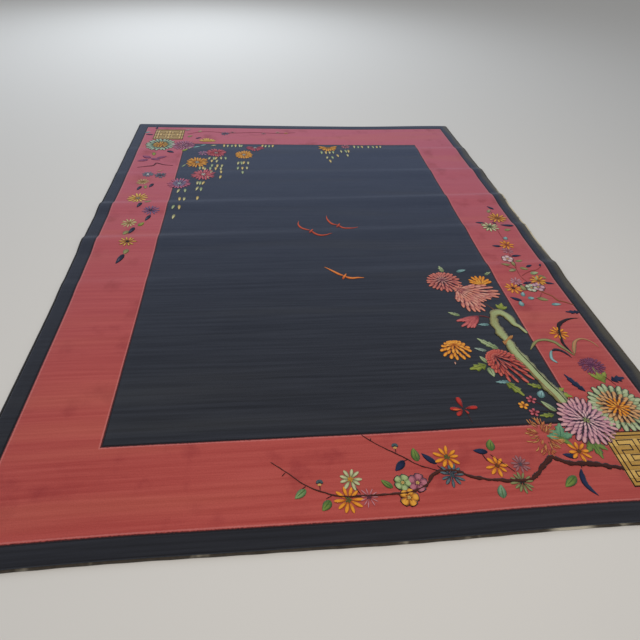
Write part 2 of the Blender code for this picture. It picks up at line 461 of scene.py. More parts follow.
def bloom(heap, origin, reach, rows, span=(0, 360), form="petal", seed=1, outline=0.0028, ink=INK,
          ragged=0.07, bend=0.10):
    """A flower of rows of petals round origin. Each row is (from, to, how many, width, side dye, core dye),
    from and to being shares of reach(angle); outer rows come first and the inner ones lie over them."""
    luck = np.random.default_rng(seed)
    start, end = np.radians(span[0]), np.radians(span[1])
    whole = abs(end - start - 2 * np.pi) < 1e-6
    for number, (low, high, count, width, side, core) in enumerate(rows):
        step = (end - start) / (count if whole else max(count - 1, 1))
        angle = start + step * (np.arange(count) + (0.5 * (number % 2) if whole else 0.0))
        angle = angle + luck.uniform(-0.16, 0.16, count) * step
        far = reach(angle) if callable(reach) else np.full(count, float(reach))
        inner, outer = far * low, far * high * (1 + luck.uniform(-ragged, ragged * 0.4, count))
        u, v = origin[0] + inner * np.cos(angle), origin[1] + inner * np.sin(angle)
        size = width * (1 + luck.uniform(-0.10, 0.10, count))
        curl = luck.uniform(-bend, bend, count)
        lift = 0.0002 * number
        looks = dict(bend=curl, form=form, side=side, core=core, low=0.0005 + lift, high=0.0015 + lift)
        if outline:
            outlined(heap, u, v, angle, outer - inner, size, outline, ink, **looks)
        else:
            shapes(heap, u, v, angle, outer - inner, size, **looks)


def leaf(heap, u, v, heading, length, width, dye, form="leaf", vein=None, outline=0.0, bend=0.12):
    """A leaf with its middle at (u, v), heading in degrees to the tip, and a darker midrib."""
    angle = np.radians(heading)
    u0, v0 = u - length / 2 * np.cos(angle), v - length / 2 * np.sin(angle)
    side, core = dye
    if outline:
        outlined(heap, u0, v0, angle, length, width, outline, bend=bend, form=form, side=side, core=core,
                 dome=0.0006)
    else:
        shapes(heap, u0, v0, angle, length, width, bend, form, side, core, dome=0.0006)
    if vein:
        shapes(heap, u0, v0, angle, length * 0.8, 0.0030, bend * 0.8, "thread", vein, vein, 0.0012, 0.0021,
               0.0001,
               plain=True)


def lobed(heap, u, v, heading, length, width, dye, lobes=(0, 52, -52), vein=None):
    """A leaf of several pointed lobes spreading from the foot of the first one."""
    angle = np.radians(heading)
    u0, v0 = u - length / 2 * np.cos(angle), v - length / 2 * np.sin(angle)
    turns = np.radians(np.array(lobes, float))
    share = np.where(np.abs(turns) < 0.1, 1.0, 0.66)
    foot = length * 0.16 * (np.abs(turns) > 0.1)
    shapes(heap, u0 + foot * np.cos(angle), v0 + foot * np.sin(angle), angle + turns, length * share,
           width * np.where(np.abs(turns) < 0.1, 0.62, 0.50), 0.05, "toothed", dye[0], dye[1], dome=0.0005)
    if vein:
        shapes(heap, u0, v0, angle, length * 0.8, 0.0028, 0.04, "thread", vein, vein, 0.0012, 0.0021, 0.0001,
               plain=True)


def smooth_line(points, step):
    """A smooth curve through the points (Catmull-Rom), sampled about every step metres: the places and
    the share of the way along at each."""
    p = np.array(points, float)
    p = np.concatenate([[2 * p[0] - p[1]], p, [2 * p[-1] - p[-2]]])
    pieces = []
    for k in range(len(p) - 3):
        a, b, c, d = p[k:k + 4]
        count = max(2, int(np.linalg.norm(c - b) / step))
        t = np.linspace(0, 1, count, endpoint=False)[:, None]
        pieces.append(0.5 * (2 * b + (c - a) * t + (2 * a - 5 * b + 4 * c - d) * t ** 2
                             + (3 * b - a - 3 * c + d) * t ** 3))
    line = np.concatenate(pieces + [p[-2:-1]])
    way = np.concatenate([[0], np.cumsum(np.linalg.norm(np.diff(line, axis=0), axis=1))])
    return line, way / way[-1]


def bough(heap, points, widths, side, core=None, rough=0.16, step=0.008, low=0.0012, dome=0.0009, seed=3):
    """A branch, stem or blade: a ribbon along a smooth line, its width going through widths evenly and
    roughened by rough, closed to a point at either end."""
    line, share = smooth_line(points, step)
    luck = np.random.default_rng(seed)
    turn = np.gradient(line, axis=0)
    turn = turn / np.linalg.norm(turn, axis=1, keepdims=True)
    left = np.stack([-turn[:, 1], turn[:, 0]], -1)
    width = np.interp(share, np.linspace(0, 1, len(widths)), widths)
    knobs = luck.normal(size=(2, len(share)))
    knobs = (knobs + np.roll(knobs, 1, 1) + np.roll(knobs, -1, 1)) / 2
    wide = [np.maximum(width / 2 * (1 + rough * k), 0.0012) for k in knobs]
    keep = slice(1, -1)
    across = np.array([1.0, 0.5, 0.0, -0.5, -1.0, 0.0])
    half = np.where(across[None] >= 0, wide[0][keep, None], wide[1][keep, None])
    flat = line[keep, None] + left[keep, None] * (half * across)[..., None]
    height = np.full(half.shape, low) + dome * (1 - across ** 2)
    height[:, -1] = -0.002
    ends = line[[0, -1]]
    t = share[keep]
    heap.add(on_pile(flat[..., 0], flat[..., 1], height)[None, :, ::-1],
             on_pile(ends[:, 0], ends[:, 1], low)[None], linear(side), linear(core or side),
             np.stack(np.broadcast_arrays(across[None, ::-1], 0.3 + 0.7 * t[:, None], 0.0), -1)[None],
             np.array([[[0, 0.3, 0], [0, 1, 0]]], float))


def line_bar(heap, path, width, dye, low=0.0014, closed=False):
    """A straight-edged bar with mitred corners along a path of right angles, in small steps."""
    p = np.array(path + path[:1] if closed else path, float)
    for a, b in zip(p[:-1], p[1:]):
        way = (b - a) / np.linalg.norm(b - a)
        a2, b2 = a - way * width / 2, b + way * width / 2
        count = max(2, int(np.linalg.norm(b2 - a2) / 0.03) + 1)
        t = np.linspace(0, 1, count)
        line = a2 + (b2 - a2) * t[:, None]
        left = np.array([-way[1], way[0]])
        across = np.array([1.0, 0.8, -0.8, -1.0])
        flat = line[:, None] + left * (across * width / 2)[:, None]
        height = np.broadcast_to(np.array([low - 0.0012, low, low, low - 0.0012]), (count, 4)).copy()
        height[[0, -1], 1:3] = low - 0.0002
        ends = line[[0, -1]]
        heap.add(on_pile(flat[..., 0], flat[..., 1], height)[None, :, ::-1],
                 on_pile(ends[:, 0], ends[:, 1], low - 0.0008)[None], linear(dye), linear(dye),
                 np.stack(np.broadcast_arrays(across[None, ::-1], t[:, None], 0.0), -1)[None],
                 np.zeros((1, 2, 3)))


# ---------------------------------------------------------------- the dyes
GREEN, OLIVE, TEAL, PALE = ("#4f6a34", "#74893f"), ("#6d7a2e", "#939c44"), ("#5e8583",
                                                                            "#8fb3b2"), ("#7d8f62", "#a9b58a")
NAVY_LEAF, ROSE_OLIVE = ("#141a33", "#232c4c"), ("#7d7a4c", "#97905c")
GOLD, AMBER = ("#a8601c", "#e8a63e"), ("#b85f18", "#ec9a2c")
ROSE_RED, CREAM = ("#8c2f3a", "#cc6670"), ("#7f8458", "#d3cf9e")


def fret(name, centre, size, material, gold=("#b98f45", "#d6ad5e"), ink="#260e10"):
    """A corner block: gold ground, an outer and an inner dark line, and a closed key meander at either
    side, on a lattice of ten units."""
    heap = Heap()
    (cu, cv), (w, h) = centre, size
    rows = 7
    for k in range(rows):
        v = cv - h / 2 + h * (k + 0.5) / rows
        line_bar(heap, [(cu - w / 2 + h / rows / 2, v), (cu + w / 2 - h / rows / 2, v)], h / rows + 0.002,
                 gold[k % 2], 0.0011)
    for inset in (0.002, 0.019):
        line_bar(heap, [(cu + a * (w / 2 - inset), cv + b * (h / 2 - inset)) for a, b in
                        ((-1, -1), (1, -1), (1, 1), (-1, 1))], 0.0052, ink, 0.0019, closed=True)
    key = [(4.4, 5.6), (4.4, 9), (1, 9), (1, 7.9), (3.3, 7.9), (3.3, 6.7), (1, 6.7), (1, 3.3), (3.3, 3.3),
           (3.3, 2.1),
           (1, 2.1), (1, 1), (4.4, 1), (4.4, 4.4), (2.2, 4.4), (2.2, 5.6)]
    unit_u, unit_v = (w - 0.040) / 10, (h - 0.040) / 10
    for mirror in (1, -1):
        line_bar(heap, [(cu + mirror * (x - 5) * unit_u, cv + (y - 5) * unit_v) for x, y in key], 0.0050,
                 ink, 0.0019,
                 closed=True)
    return heap.mesh(name, material)


def chrysanthemum_spray(material):
    """The near right corner: two big chrysanthemums, a spider bloom and their leaves."""
    heap = Heap()
    # leaves first, then the blooms over them
    lobed(heap, .835, -1.447, 70, .085, .085, ("#52805e", "#6f9c76"), (0, 58, -58, 100), "#3f6a50")
    leaf(heap, .832, -1.490, -52, .075, .026, GREEN)
    lobed(heap, .942, -1.530, -86, .095, .070, GREEN, (0, 42, -42), "#3f5a2c")
    lobed(heap, .935, -1.262, -20, .085, .070, OLIVE, (0, 45, -60))
    leaf(heap, 1.023, -1.200, 116, .115, .036, NAVY_LEAF, "toothed")
    leaf(heap, 1.233, -1.190, 12, .070, .044, NAVY_LEAF, "cut")
    leaf(heap, 1.262, -1.42, 60, .06, .04, NAVY_LEAF, "toothed")
    bough(heap, [(1.172, -1.165), (1.19, -1.19), (1.205, -1.225)], (.004, .003), "#4a1018")
    bloom(heap, (1.145, -1.340), 0.127,
          [(.52, 1.0, 24, .026, "#5f6b48", "#b9c39a"), (.46, .86, 22, .023, "#56613f", "#aab68a"),
           (.36, .70, 20, .020, "#6a3f24", "#d3a06c"), (.24, .54, 17, .016, "#54301f", "#dca970"),
           (.10, .40, 13, .014, "#9c4c16", "#e8952a"), (.0, .24, 9, .011, "#8c3c12", "#f0a63a")], seed=5)
    bloom(heap, (.970, -1.400), 0.121,
          [(.54, 1.0, 27, .021, "#7a465e", "#dba7a6"), (.40, .82, 25, .018, "#6a3b58", "#cf97a0"),
           (.28, .64, 21, .016, "#64385a", "#d9a5aa"), (.16, .46, 16, .013, "#6a4060", "#dfb0b0"),
           (.06, .29, 11, .010, "#64405a", "#e4bcb8"), (.0, .13, 6, .007, "#6b6a44", "#9aa068")], seed=9)
    luck = np.random.default_rng(12)
    n = 96
    angle = luck.uniform(0, 2 * np.pi, n)
    far = np.sqrt(luck.uniform(0.06, 1, n))
    for k, (side, core) in enumerate((("#6a2f22", "#b87a44"), ("#8a4a2c", "#cf9656"),
                                      ("#7c3a28", "#c0683c"))):
        pick = slice(k, None, 3)
        shapes(heap, .757 + .050 * far[pick] * np.cos(angle[pick]),
               -1.462 + .066 * far[pick] * np.sin(angle[pick]),
               angle[pick] + luck.uniform(-.5, .5, n)[pick], luck.uniform(.022, .036, n)[pick], .0062,
               luck.uniform(-.7, .7, n)[pick], "ray", side, core, high=.0012 + .0003 * k)
    return heap.mesh("corner_spray", material)


def tree(material):
    """The twisted trunk on the field with the blooms, buds, berries and leaves round it."""
    heap = Heap()
    lobed(heap, .889, -.676, 68, .062, .060, OLIVE, (0, 46, -46))
    # the trunk: dark edge, pale wood, a second strand and the groove between them
    spine = [(.816, -.754), (.806, -.826), (.815, -.885), (.829, -.970), (.842, -1.030), (.861, -1.09),
             (.877, -1.15), (.894, -1.205), (.914, -1.258), (.925, -1.310)]
    arch = [(.812, -.770), (.826, -.735), (.863, -.722), (.893, -.750), (.903, -.804), (.926, -.837),
            (.943, -.882)]
    for line, sizes, seed in ((spine, (.040, .054, .050, .056, .060, .052, .054, .056, .050), 4),
                              (arch, (.030, .044, .048, .044, .034, .026, .012), 6)):
        bough(heap, line, [s + .006 for s in sizes], "#17120f", low=.0008, dome=.0, seed=seed)
        bough(heap, line, sizes, "#8b8150", "#a8b582", low=.0013, dome=.0012, seed=seed)
    shift = [(a + .011, b + .002) for a, b in spine[3:]]
    bough(heap, shift, (.003, .005, .006, .006, .004), "#1d1612", low=.0026, dome=0)
    bough(heap, [(a - .018, b - .004) for a, b in spine[4:]], (.002, .004, .004, .003), "#8a5a34",
          low=.0024, dome=0)
    shapes(heap, .803 + .042 * np.linspace(0, 1, 9), -.940 - .020 * np.cos(np.linspace(0, 3, 9)),
           np.radians(np.linspace(100, 60, 9)), .032, .009, .1, "petal", "#7a3f22", "#c08a4c", high=.0026)
    bough(heap, [(.800, -.630), (.822, -.668), (.852, -.717)], (.003, .004, .005), "#7a4a36")
    bough(heap, [(.742, -.741), (.775, -.748), (.800, -.765)], (.006, .007, .005), "#7a2a24")
    for row in ((.917, -.395, 30, .045, .026, PALE, "cut"), (.660, -.344, 98, .060, .036, PALE, "cut"),
                (.770, -.368, 15, .060, .024, TEAL, "leaf"), (.620, -.722, 155, .062, .028, PALE, "toothed"),
                (.747, -.807, 180, .056, .024, TEAL, "toothed"), (.718, -.940, 138, .110, .044, PALE,
                                                                  "toothed"),
                (.669, -.977, 160, .058, .020, ("#7d8f82", "#a3b5a4"), "leaf"),
                (.663, -1.042, 122, .052, .026, PALE, "leaf"), (.619, -1.085, 196, .088, .056, OLIVE, "cut"),
                (.669, -1.120, -85, .058, .034, PALE, "leaf"), (.700, -1.178, 180, .064, .024, TEAL,
                                                                "toothed"),
                (.739, -1.221, -58, .095, .050, OLIVE, "cut"), (.837, -1.207, 160, .066, .034, OLIVE, "cut"),
                (.843, -1.256, 60, .044, .036, TEAL, "leaf"), (.846, -1.320, 128, .072, .028, PALE, "leaf"),
                (.817, -1.365, 182, .064, .030, OLIVE, "cut")):
        leaf(heap, *row[:5], row[5], row[6], vein="#4a5230" if row[5] is not TEAL else "#4d6b6a")
    bough(heap, [(.795, -1.292), (.826, -1.318), (.842, -1.345)], (.003, .003), "#5c1c22")
    bough(heap, [(.785, -1.340), (.812, -1.345), (.850, -1.350), (.880, -1.348)], (.003, .003), "#3a2620")
    for u, v, dyes in ((.786, -1.282, ("#7d2430", "#c4646c")), (.739, -1.310, ("#c0701c", "#f0a63a")),
                       (.770, -1.348, ("#7d2430", "#c4646c"))):
        bloom(heap, (u, v), .0215, [(.0, 1.0, 5, .016, *dyes), (.0, .4, 5, .006, "#3a1016", dyes[0])],
              outline=.0012,
              seed=7, form="spoon")
    bloom(heap, (.637, -.440), oval((.645, -.460), .102, .086, 0, (.637, -.440)),
          [(.55, 1.0, 24, .019, "#8f3638", "#cf7a68"), (.38, .82, 20, .017, "#83303a", "#c47064"),
           (.20, .60, 15, .015, "#7f3440", "#cc8070"), (.0, .36, 9, .012, "#6f3a48", "#b88278")],
          seed=21, outline=.0016, ink="#3a1218")
    bloom(heap, (.849, -.492), lambda a: .062 + .020 * np.sin(a),
          [(.35, 1.0, 8, .018, *AMBER), (.1, .74, 7, .017, "#a8581a", "#e89a30"), (.0, .5, 5, .015, *GOLD)],
          span=(22, 158), seed=4, outline=.0018, ink="#5a2a0c")
    reach = lambda a: np.interp(np.degrees(a), (-118, -100, -85, -64, -54, -45, -36, -16, 0, 12, 28),
                                (.07, .13, .186, .206, .18, .150, .170, .232, .215, .180, .06))
    coral = [("#8a3a3a", "#dd9078"), ("#7c3440", "#cf8274"), ("#8a3c44", "#dfa08a")]
    bloom(heap, (.700, -.527), reach,
          [(.66, 1.0, 17, .021, *coral[0]), (.54, .88, 16, .020, *coral[1]), (.42, .76, 15, .019, *coral[2]),
           (.31, .64, 14, .018, *coral[1]), (.20, .52, 12, .016, *coral[0]), (.09, .40, 10, .014, *coral[2])],
          span=(-112, 20), seed=31, outline=.0018, ink="#3a1418")
    bloom(heap, (.705, -.524), .034, [(.1, 1.0, 10, .012, "#8c3a3c", "#d68a74"),
                                      (.0, .5, 6, .009, *coral[1])], seed=8,
          outline=.0014, ink="#3a1418")
    bloom(heap, (.745, -.738), lambda a: .118 + .026 * np.sin(np.degrees(a) * .42),
          [(.30, 1.0, 8, .021, "#8c3038", "#cc6a66"), (.06, .74, 6, .020, "#7c2a34", "#b85a5a")],
          span=(196, 238),
          seed=41, outline=.0015, ink="#4a141c")
    origin = (.722, -1.025)
    bloom(heap, origin, oval((.765, -1.090), .116, .086, -58, origin),
          [(.66, 1.0, 30, .018, "#7c2424", "#cf6a5a"), (.53, .87, 27, .017, "#6f1e22", "#b85046"),
           (.40, .74, 24, .016, "#7a2626", "#c8604e"), (.28, .60, 20, .015, "#6a1e22", "#b44a42"),
           (.15, .46, 15, .013, "#7c2a2a", "#c8685a"), (.0, .30, 9, .011, "#6a2428", "#b0564c")],
          seed=51, outline=.0016, ink="#2c0c10")
    origin = (.550, -.938)
    bloom(heap, origin, oval((.551, -.980), .076, .066, 0, origin),
          [(.60, 1.0, 19, .019, "#b05c16", "#f0a43a"), (.40, .80, 16, .018, "#a85414", "#e89a34"),
           (.18, .60, 13, .017, "#b46018", "#f2ac48"), (.0, .40, 8, .014, "#a05014", "#dc8c34")],
          seed=61, outline=.0016, ink="#4a2008")
    shapes(heap, .522, -1.048, np.radians(-95), .018, .009, 0, "drop", "#8c5a50", "#d8a890")
    star = np.radians([96, 4, 176, 222, 300])
    shapes(heap, .476 + .006 * np.cos(star), -1.312 + .006 * np.sin(star), star,
           np.array([.056, .056, .050, .042, .024]), np.array([.026, .022, .022, .022, .012]), .08, "spoon",
           "#7a1c1a", "#b8342c")
    shapes(heap, .470, -1.316, np.radians(178), .040, .010, .08, "ray", "#b84a26", "#d86a34", .0016, .0026)
    bough(heap, [(.480, -1.320), (.487, -1.350), (.492, -1.388)], (.003, .002, .002), "#4a2a22")
    return heap.mesh("tree_on_field", material)


def daisy(heap, u, v, radius, dyes, petals=9, eye="#5a3a1c", width=None, form="ray", outline=.0, seed=1,
          eyes=5):
    """A small open flower: one row of petals round an eye of tiny ones."""
    width = width or 2.4 * radius / petals * 1.25
    bloom(heap, (u, v), radius, [(.10, 1.0, petals, width, *dyes)], form=form, outline=outline, seed=seed,
          ragged=.14)
    bloom(heap, (u, v), radius * .24, [(.0, 1.0, eyes, radius * .16, eye, eye)], form="spoon", outline=0,
          seed=seed + 1)


def plum_blossom(heap, u, v, radius, dyes, eye="#2a1a18", seed=1):
    """Five round petals with a dark outline and a few dark stamens."""
    bloom(heap, (u, v), radius, [(.06, 1.0, 5, radius * .98, *dyes)], form="spoon", seed=seed,
          outline=.0028, bend=.04,
          ragged=.05)
    bloom(heap, (u, v), radius * .52, [(.0, 1.0, 5, .0028, eye, eye)], form="thread", outline=0, seed=seed)
    bloom(heap, (u, v), radius * .20, [(.0, 1.0, 5, .006, "#b08a4a", "#d8b46a")], form="spoon", outline=0,
          seed=seed)


def blossoming_branch(material):
    """The long branch across the near border, with asters, plum blossom, buds and leaves."""
    heap = Heap()
    bark = "#331410"
    main = [(1.005, -1.622), (.92, -1.602), (.86, -1.592), (.80, -1.588), (.765, -1.570), (.742, -1.560),
            (.70, -1.590),
            (.655, -1.628), (.62, -1.643), (.53, -1.640), (.42, -1.620), (.36, -1.588), (.30, -1.585),
            (.262, -1.600),
            (.235, -1.632), (.18, -1.655), (.13, -1.660), (0, -1.660), (-.06, -1.660), (-.12, -1.648),
            (-.20, -1.610),
            (-.26, -1.560), (-.325, -1.508)]
    bough(heap, main, (.019, .021, .018, .019, .017, .014, .012, .012, .011, .009, .007, .006, .005, .004,
                       .003),
          bark, "#4c241a", rough=.30, step=.006)
    bough(heap, [(.292, -1.583), (.22, -1.552), (.18, -1.522), (.12, -1.482), (.07, -1.446), (.028, -1.408)],
          (.005, .004, .004, .003), bark, rough=.35, step=.006)
    for line in ([(.866, -1.570), (.868, -1.585)], [(.51, -1.530), (.545, -1.560), (.580, -1.610)],
                 [(.846, -1.595), (.840, -1.612)], [(.48, -1.525), (.49, -1.56)],
                 [(.31, -1.583), (.292, -1.560)],
                 [(.150, -1.497), (.151, -1.480)], [(-.151, -1.632), (-.152, -1.612)],
                 [(-.03, -1.62), (-.01, -1.655)],
                 [(.170, -1.535), (.19, -1.528)], [(-.27, -1.553), (-.285, -1.570)],
                 [(.06, -1.440), (.065, -1.428)],
                 [(-.136, -1.665), (-.11, -1.652)], [(-.215, -1.622), (-.20, -1.612)]):
        middle = ((line[0][0] + line[-1][0]) / 2, (line[0][1] + line[-1][1]) / 2)
        bough(heap, [line[0], middle, line[-1]], (.003, .004, .003), bark, step=.005)
    bough(heap, [(.836, -1.612), (.826, -1.640), (.822, -1.670), (.830, -1.698), (.848, -1.724)],
          (.004, .022, .024, .014, .003), *NAVY_LEAF, rough=.12)
    for row in ((.822, -1.556, 165, .058, .024, NAVY_LEAF), (.478, -1.513, 170, .056, .026, NAVY_LEAF),
                (.528, -1.490, 78, .052, .036, GREEN), (.770, -1.661, 215, .072, .034, GREEN),
                (.500, -1.681, 80, .052, .034, ("#5a7a5a", "#7c9a78")), (.090, -1.620, 140, .050, .024,
                                                                         GREEN),
                (-.136, -1.688, 230, .048, .032, GREEN), (-.223, -1.640, 220, .052, .030,
                                                          ("#5f7f4e", "#7f9a64")),
                (.152, -1.552, 225, .058, .030, NAVY_LEAF), (.222, -1.510, 96, .058, .034, GREEN),
                (.270, -1.530, 135, .068, .024, NAVY_LEAF)):
        leaf(heap, *row, vein=None if row[5] is NAVY_LEAF else "#47602c")
    daisy(heap, .611, -1.580, .038, ("#7d4a4c", "#a0686a"), 11, "#5a4a52", seed=13)
    daisy(heap, .588, -1.652, .044, ("#5a5a34", "#8a8a5a"), 12, "#2a2420", seed=14)
    daisy(heap, .337, -1.604, .048, ("#232a38", "#5c6c70"), 11, "#3a4a50", seed=15)
    for u, v, r, count, seed in ((.866, -1.540, .046, 8, 16), (.340, -1.530, .052, 9, 17),
                                 (.520, -1.580, .044, 8, 18),
                                 (-.057, -1.672, .052, 10, 19)):
        daisy(heap, u, v, r, AMBER, count, "#5a5a2c" if count > 8 else "#6a3c14", seed=seed)
    daisy(heap, -.039, -1.595, .045, ("#8a8a5c", "#c3c396"), 9, "#c08a2c", seed=20)
    daisy(heap, .017, -1.667, .038, ("#a0505a", "#c98488"), 11, "#5a2c3a", width=.0055, seed=22)
    plum_blossom(heap, .202, -1.624, .035, ("#7a3a4c", "#b8707c"), seed=24)
    plum_blossom(heap, .148, -1.620, .031, ("#74864e", "#a8b880"), seed=25)
    plum_blossom(heap, .158, -1.677, .034, GOLD, seed=26)
    for u, v in ((-.152, -1.604), (.151, -1.470)):
        bloom(heap, (u, v), .014, [(.0, 1.0, 5, .012, "#232c34", "#4a5c60")], span=(20, 160), outline=0,
              form="spoon")
        bloom(heap, (u, v), .011, [(.0, 1.0, 3, .008, "#a8783c", "#d8a860")], span=(240, 300), outline=0,
              form="spoon")
    return heap.mesh("blossoming_branch", material)


def iris_blades(material):
    """Long curling blades, a gold flower and a purple chrysanthemum on the right border."""
    heap = Heap()
    leaf(heap, 1.255, -.732, 178, .078, .034, NAVY_LEAF, "cut")
    bough(heap, [(1.11, -1.04), (1.072, -.977), (1.053, -.948), (1.018, -.929), (.975, -.932), (.944, -.953),
                 (.909, -.993)], (.006, .016, .020, .018, .014, .016, .004), "#6f6a40", "#94905c", rough=.08)
    bough(heap, [(1.11, -1.03), (1.134, -.98), (1.16, -.945), (1.191, -.93), (1.222, -.937), (1.244, -.96),
                 (1.256, -.992)], (.006, .020, .018, .012, .008, .006, .003), "#8c7c50", "#c08a60", rough=.08)
    bough(heap, [(1.105, -1.028), (1.096, -.99), (1.091, -.957), (1.101, -.91), (1.115, -.863),
                 (1.134, -.827),
                 (1.171, -.80), (1.215, -.784), (1.262, -.781)], (.003, .012, .014, .012, .016, .022, .016,
                                                                  .010, .003),
          "#1a0e14", "#2a1a20", rough=.08)
    bough(heap, [(1.087, -1.053), (1.075, -1.026), (1.06, -1.007), (1.034, -.995), (1.010, -1.004)],
          (.003, .012, .016, .016, .010), "#1c1826", "#2c2434", rough=.08)
    bough(heap, [(1.013, -.999), (.997, -1.022), (.988, -1.058), (1.004, -1.082)], (.012, .016, .018, .006),
          *TEAL)
    daisy(heap, 1.105, -.885, .050, AMBER, 10, "#7a4a1a", seed=33)
    bloom(heap, (1.156, -1.100), oval((1.156, -1.106), .064, .052, 0, (1.156, -1.1)),
          [(.55, 1.0, 22, .0105, "#5c2c4c", "#84455f"), (.38, .80, 18, .010, "#54284a", "#7c3e5c"),
           (.16, .56, 13, .009, "#5c2c50", "#8a4a64"), (.0, .34, 8, .008, "#4a2440", "#74385a")],
          outline=0, seed=35)
    lobed(heap, 1.158, -1.160, 95, .100, .060, OLIVE, (0, 40, -40))
    return heap.mesh("iris_blades", material)


def right_sprig(material):
    """The airy sprig of small flowers up the right border."""
    heap = Heap()
    twig, faint = "#8a3c38", ("#7d7a55", "#a09a70")
    bough(heap, [(1.292, -.680), (1.255, -.655), (1.222, -.637), (1.205, -.600), (1.167, -.565),
                 (1.13, -.535)],
          (.008, .010, .010, .007, .004), "#8a4a30", "#9c5a38", rough=.25)
    for line in ([(1.13, -.54), (1.12, -.48), (1.10, -.42), (1.10, -.36), (1.09, -.28)],
                 [(1.11, -.42), (1.14, -.40), (1.18, -.38), (1.22, -.37), (1.26, -.34)],
                 [(1.10, -.36), (1.12, -.28), (1.13, -.17), (1.15, -.06), (1.15, .06), (1.17, .18),
                  (1.20, .30)],
                 [(1.09, -.36), (1.06, -.34), (1.03, -.30)], [(1.14, -.44), (1.20, -.44), (1.24, -.42)],
                 [(1.12, -.55), (1.07, -.55), (1.03, -.57)], [(1.16, -.57), (1.13, -.61), (1.10, -.62)]):
        bough(heap, line, (.004, .003, .003), twig, rough=.2)
    for u, v, angle, length, width, dye in (
            (1.212, .352, 130, .055, .024, NAVY_LEAF), (1.185, .307, 60, .05, .026, faint),
            (1.07, .16, 170, .060, .024, NAVY_LEAF), (1.163, .15, 120, .034, .020, NAVY_LEAF),
            (1.234, .115, 172, .088, .028, NAVY_LEAF), (1.218, .06, 10, .045, .026, ROSE_OLIVE),
            (1.17, -.03, 60, .036, .030, TEAL), (1.078, -.113, 175, .055, .022, NAVY_LEAF),
            (1.159, -.222, 5, .062, .022, NAVY_LEAF), (1.054, -.315, 165, .052, .026, ROSE_OLIVE),
            (1.104, -.308, 80, .050, .026, ROSE_OLIVE), (1.154, -.277, 20, .050, .026, ROSE_OLIVE),
            (1.072, -.37, 200, .050, .026, faint), (1.147, -.36, -20, .048, .024, ROSE_OLIVE),
            (1.187, -.337, 25, .044, .020, NAVY_LEAF), (1.257, -.33, 60, .024, .014, NAVY_LEAF),
            (1.193, -.40, 10, .050, .028, PALE), (1.227, -.434, -40, .046, .026, ROSE_OLIVE),
            (1.074, -.525, 100, .050, .034, ROSE_OLIVE), (1.118, -.483, 12, .058, .020, NAVY_LEAF),
            (1.06, -.50, 185, .040, .018, NAVY_LEAF), (1.238, -.49, -12, .062, .020, NAVY_LEAF),
            (1.05, -.58, 70, .040, .026, TEAL), (.995, -.617, 150, .064, .026, NAVY_LEAF),
            (1.081, -.615, 0, .036, .028, TEAL), (1.141, -.625, -20, .060, .030, ROSE_OLIVE),
            (1.008, -.657, 90, .042, .032, TEAL), (1.196, -.671, 0, .054, .024, TEAL),
            (1.185, -.445, 60, .045, .024, PALE)):
        leaf(heap, u, v, angle, length, width, dye)
    daisy(heap, 1.055, -.468, .036, ("#a86a76", "#c08a92"), 9, "#8a5a62", seed=43)
    daisy(heap, 1.126, -.168, .036, ("#a0606c", "#b0747c"), 9, "#8a5060", seed=44)
    daisy(heap, 1.210, .215, .064, GOLD, 11, "#7a4a1a", seed=45, outline=.0014)
    daisy(heap, 1.112, .100, .060, CREAM, 11, "#3a4a30", seed=46, outline=.0014)
    daisy(heap, 1.147, -.104, .048, AMBER, 8, "#8a4a1a", seed=47)
    daisy(heap, 1.016, -.526, .050, ("#c06a22", "#e89a3a"), 9, "#3a1a14", seed=48)
    daisy(heap, 1.189, -.466, .048, ("#b8741f", "#e0a03c"), 9, "#7a4a1a", seed=49)
    plum_blossom(heap, 1.093, -.250, .034, ("#b08088", "#dcc0bc"), seed=52)
    plum_blossom(heap, 1.121, -.527, .033, ("#8a9078", "#c8ccb0"), seed=53)
    plum_blossom(heap, 1.163, -.520, .036, ("#8c5a70", "#cfa4ae"), seed=54)
    return heap.mesh("right_sprig", material)


